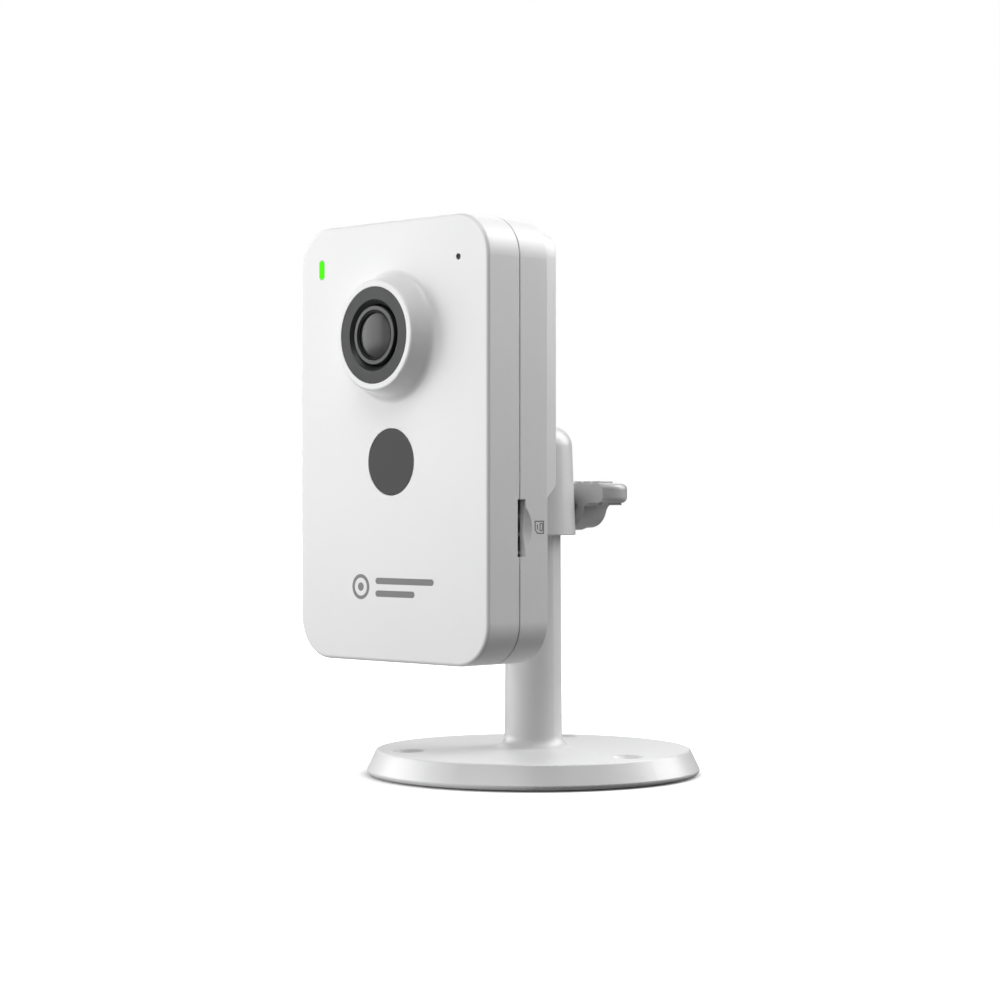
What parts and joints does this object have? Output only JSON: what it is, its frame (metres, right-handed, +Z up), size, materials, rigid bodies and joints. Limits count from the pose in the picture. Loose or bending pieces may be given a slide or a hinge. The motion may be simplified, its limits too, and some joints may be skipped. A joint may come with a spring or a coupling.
{
  "type": "security camera",
  "caption": "Small upright box camera with a round lens rim, on a round weighted stand with a pole, a tilting and turning joint and a winged clamp knob.",
  "frame": {"origin": "centre of the stand's underside, on the pole's axis", "axes": "+Z up the pole, the lens looks along -Y, +X to the right seen along +Y"},
  "size_m": [0.0826, 0.0949, 0.1338],
  "materials": {
    "case_white": "fine satin moulded plastic",
    "stand_white": "fine satin moulded plastic",
    "knob_grey": "satin moulded plastic",
    "trim_dark": "satin dark grey plastic",
    "lens_black": "black anodised, turned",
    "lens_glass": "coated optical glass",
    "window_dark": "polished dark plastic",
    "light_green": "clear light guide, lit green",
    "steel": "zinc plated",
    "brass": "machined brass",
    "nylon": "natural nylon",
    "rubber": "soft black rubber",
    "board_green": "solder mask over glass fibre board",
    "chip_black": "moulded package",
    "aluminium": "plain finned plate",
    "coil_copper": "wound enamelled wire",
    "sensor_dark": "glass topped package",
    "filter_day": "coated filter glass",
    "filter_night": "clear glass",
    "flex_amber": "polyimide film",
    "card_black": "moulded card",
    "label_silver": "blank satin film",
    "thermal_grey": "soft filled pad"
  },
  "bodies": {
    "stand": {"stand_base": "stand_white", "ballast_plate": "steel", "foot_pad": "rubber"},
    "swivel": {"swivel_housing": "stand_white", "thrust_washer": "nylon", "threaded_insert": "brass"},
    "clamp_shoe": {"brake_pad": "nylon"},
    "knob_and_bolt": {"clamp_bolt": "steel", "clamp_knob": "knob_grey"},
    "head": {"tilt_bracket": "case_white", "bracket_screws": "steel", "tilt_screw": "steel", "tilt_nut": "steel", "tilt_washers": "nylon", "front_cover": "case_white", "rear_cover": "case_white", "case_screws": "steel", "lens_trim_ring": "trim_dark", "lens_barrel": "lens_black", "lens_retaining_ring": "lens_black", "front_lens_element": "lens_glass", "lens_spacers": "lens_black", "middle_lens_element": "lens_glass", "rear_lens_element": "lens_glass", "lens_holder": "chip_black", "lens_holder_screws": "steel", "ir_cut_coil": "coil_copper", "image_sensor": "sensor_dark", "main_board": "board_green", "board_screws": "steel", "processor": "chip_black", "thermal_pad": "thermal_grey", "heat_spreader": "aluminium", "memory_chips": "chip_black", "radio_module": "steel", "shield_can": "steel", "status_led": "nylon", "status_light_pipe": "light_green", "microphone": "steel", "microphone_boot": "rubber", "dark_window": "window_dark", "window_board": "board_green", "infrared_led": "sensor_dark", "light_sensor": "sensor_dark", "cable_sockets": "nylon", "flat_cable": "flex_amber", "antenna": "flex_amber", "antenna_lead": "chip_black", "card_socket": "chip_black", "usb_power_socket": "steel", "usb_contact_tongue": "chip_black", "reset_switch": "chip_black", "speaker": "chip_black", "speaker_gasket": "rubber", "rating_label": "label_silver"},
    "day_filter": {"ir_cut_frame": "chip_black", "ir_cut_filter": "filter_day", "clear_filter": "filter_night"},
    "card": {"memory_card": "card_black"},
    "reset_plunger": {"reset_button": "case_white"}
  },
  "joints": [
    {"name": "pan", "type": "hinge", "parent": "stand", "child": "swivel", "pos_m": [0, 0, 0.0594], "axis": [0, 0, 1], "continuous": true},
    {"name": "tilt", "type": "hinge", "parent": "swivel", "child": "head", "pos_m": [0, -0.016, 0.0805], "axis": [-1, 0, 0], "range_deg": [-20, 90]},
    {"name": "brake_slide", "type": "slide", "parent": "swivel", "child": "clamp_shoe", "axis": [0, 1, 0], "range_m": [0, 0.00105]},
    {"name": "knob_turn", "type": "hinge", "parent": "clamp_shoe", "child": "knob_and_bolt", "pos_m": [0, 0.0118, 0.0666], "axis": [0, 1, 0], "range_deg": [0, 540]},
    {"name": "filter_slide", "type": "slide", "parent": "head", "child": "day_filter", "axis": [1, 0, 0], "range_m": [0, 0.0062]},
    {"name": "card_slide", "type": "slide", "parent": "head", "child": "card", "axis": [1, 0, 0], "range_m": [0, 0.016]},
    {"name": "reset_press", "type": "slide", "parent": "head", "child": "reset_plunger", "axis": [0, -1, 0], "range_m": [0, 0.0005], "stiffness_N_per_m": 300, "springref_m": -0.001}
  ],
  "couplings": [
    {"joint": "knob_turn", "follows": "brake_slide", "rad_per_m": 8975.9}
  ]
}
